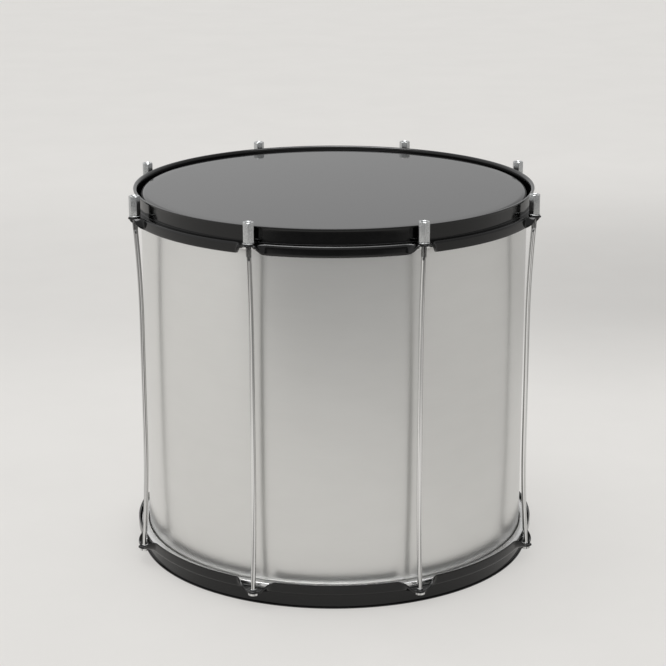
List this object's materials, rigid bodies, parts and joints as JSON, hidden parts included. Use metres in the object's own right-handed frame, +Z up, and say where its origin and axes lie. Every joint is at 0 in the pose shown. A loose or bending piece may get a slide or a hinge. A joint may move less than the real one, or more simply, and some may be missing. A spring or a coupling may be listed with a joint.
{
  "type": "samba snare drum",
  "caption": "Two-headed samba drum with a brushed metal shell, black pressed hoops, black film heads and long tension rods with sleeve nuts.",
  "frame": {"origin": "on the floor under the middle of the drum, at the centre of the bottom hoop's rim", "axes": "+Z up along the drum's axis, -Y towards the viewer in the picture, +X to the viewer's right"},
  "size_m": [0.3802, 0.3802, 0.3516],
  "materials": {
    "shell_aluminium": "satin, brushed round the drum",
    "ring_aluminium": "polished",
    "hoop_paint": "semi-gloss black",
    "head_film": "gloss black",
    "plated_steel": "bright plated"
  },
  "bodies": {
    "drum": {"shell": "shell_aluminium", "top_hoop": "hoop_paint", "bottom_hoop": "hoop_paint", "top_head_film": "head_film", "bottom_head_film": "head_film", "top_head_ring": "ring_aluminium", "bottom_head_ring": "ring_aluminium", "rod_1": "plated_steel", "rod_2": "plated_steel", "rod_3": "plated_steel", "rod_4": "plated_steel", "rod_5": "plated_steel", "rod_6": "plated_steel", "rod_7": "plated_steel", "rod_8": "plated_steel"},
    "washer_1_body": {"washer_1": "plated_steel"},
    "nut_1_body": {"nut_1": "plated_steel"},
    "washer_2_body": {"washer_2": "plated_steel"},
    "nut_2_body": {"nut_2": "plated_steel"},
    "washer_3_body": {"washer_3": "plated_steel"},
    "nut_3_body": {"nut_3": "plated_steel"},
    "washer_4_body": {"washer_4": "plated_steel"},
    "nut_4_body": {"nut_4": "plated_steel"},
    "washer_5_body": {"washer_5": "plated_steel"},
    "nut_5_body": {"nut_5": "plated_steel"},
    "washer_6_body": {"washer_6": "plated_steel"},
    "nut_6_body": {"nut_6": "plated_steel"},
    "washer_7_body": {"washer_7": "plated_steel"},
    "nut_7_body": {"nut_7": "plated_steel"},
    "washer_8_body": {"washer_8": "plated_steel"},
    "nut_8_body": {"nut_8": "plated_steel"}
  },
  "joints": [
    {"name": "washer_1_lift", "type": "slide", "parent": "drum", "child": "washer_1_body", "axis": [0, 0, 1], "range_m": [0, 0.004]},
    {"name": "nut_1_turn", "type": "hinge", "parent": "washer_1_body", "child": "nut_1_body", "pos_m": [-0.07412, -0.17895, 0.3323], "axis": [0, 0, 1], "range_deg": [0, 1800]},
    {"name": "washer_2_lift", "type": "slide", "parent": "drum", "child": "washer_2_body", "axis": [0, 0, 1], "range_m": [0, 0.004]},
    {"name": "nut_2_turn", "type": "hinge", "parent": "washer_2_body", "child": "nut_2_body", "pos_m": [0.07412, -0.17895, 0.3323], "axis": [0, 0, 1], "range_deg": [0, 1800]},
    {"name": "washer_3_lift", "type": "slide", "parent": "drum", "child": "washer_3_body", "axis": [0, 0, 1], "range_m": [0, 0.004]},
    {"name": "nut_3_turn", "type": "hinge", "parent": "washer_3_body", "child": "nut_3_body", "pos_m": [0.17895, -0.07412, 0.3323], "axis": [0, 0, 1], "range_deg": [0, 1800]},
    {"name": "washer_4_lift", "type": "slide", "parent": "drum", "child": "washer_4_body", "axis": [0, 0, 1], "range_m": [0, 0.004]},
    {"name": "nut_4_turn", "type": "hinge", "parent": "washer_4_body", "child": "nut_4_body", "pos_m": [0.17895, 0.07412, 0.3323], "axis": [0, 0, 1], "range_deg": [0, 1800]},
    {"name": "washer_5_lift", "type": "slide", "parent": "drum", "child": "washer_5_body", "axis": [0, 0, 1], "range_m": [0, 0.004]},
    {"name": "nut_5_turn", "type": "hinge", "parent": "washer_5_body", "child": "nut_5_body", "pos_m": [0.07412, 0.17895, 0.3323], "axis": [0, 0, 1], "range_deg": [0, 1800]},
    {"name": "washer_6_lift", "type": "slide", "parent": "drum", "child": "washer_6_body", "axis": [0, 0, 1], "range_m": [0, 0.004]},
    {"name": "nut_6_turn", "type": "hinge", "parent": "washer_6_body", "child": "nut_6_body", "pos_m": [-0.07412, 0.17895, 0.3323], "axis": [0, 0, 1], "range_deg": [0, 1800]},
    {"name": "washer_7_lift", "type": "slide", "parent": "drum", "child": "washer_7_body", "axis": [0, 0, 1], "range_m": [0, 0.004]},
    {"name": "nut_7_turn", "type": "hinge", "parent": "washer_7_body", "child": "nut_7_body", "pos_m": [-0.17895, 0.07412, 0.3323], "axis": [0, 0, 1], "range_deg": [0, 1800]},
    {"name": "washer_8_lift", "type": "slide", "parent": "drum", "child": "washer_8_body", "axis": [0, 0, 1], "range_m": [0, 0.004]},
    {"name": "nut_8_turn", "type": "hinge", "parent": "washer_8_body", "child": "nut_8_body", "pos_m": [-0.17895, -0.07412, 0.3323], "axis": [0, 0, 1], "range_deg": [0, 1800]}
  ],
  "couplings": [
    {"joint": "washer_1_lift", "follows": "nut_1_turn", "m_per_rad": 0.0001273},
    {"joint": "washer_2_lift", "follows": "nut_2_turn", "m_per_rad": 0.0001273},
    {"joint": "washer_3_lift", "follows": "nut_3_turn", "m_per_rad": 0.0001273},
    {"joint": "washer_4_lift", "follows": "nut_4_turn", "m_per_rad": 0.0001273},
    {"joint": "washer_5_lift", "follows": "nut_5_turn", "m_per_rad": 0.0001273},
    {"joint": "washer_6_lift", "follows": "nut_6_turn", "m_per_rad": 0.0001273},
    {"joint": "washer_7_lift", "follows": "nut_7_turn", "m_per_rad": 0.0001273},
    {"joint": "washer_8_lift", "follows": "nut_8_turn", "m_per_rad": 0.0001273}
  ]
}
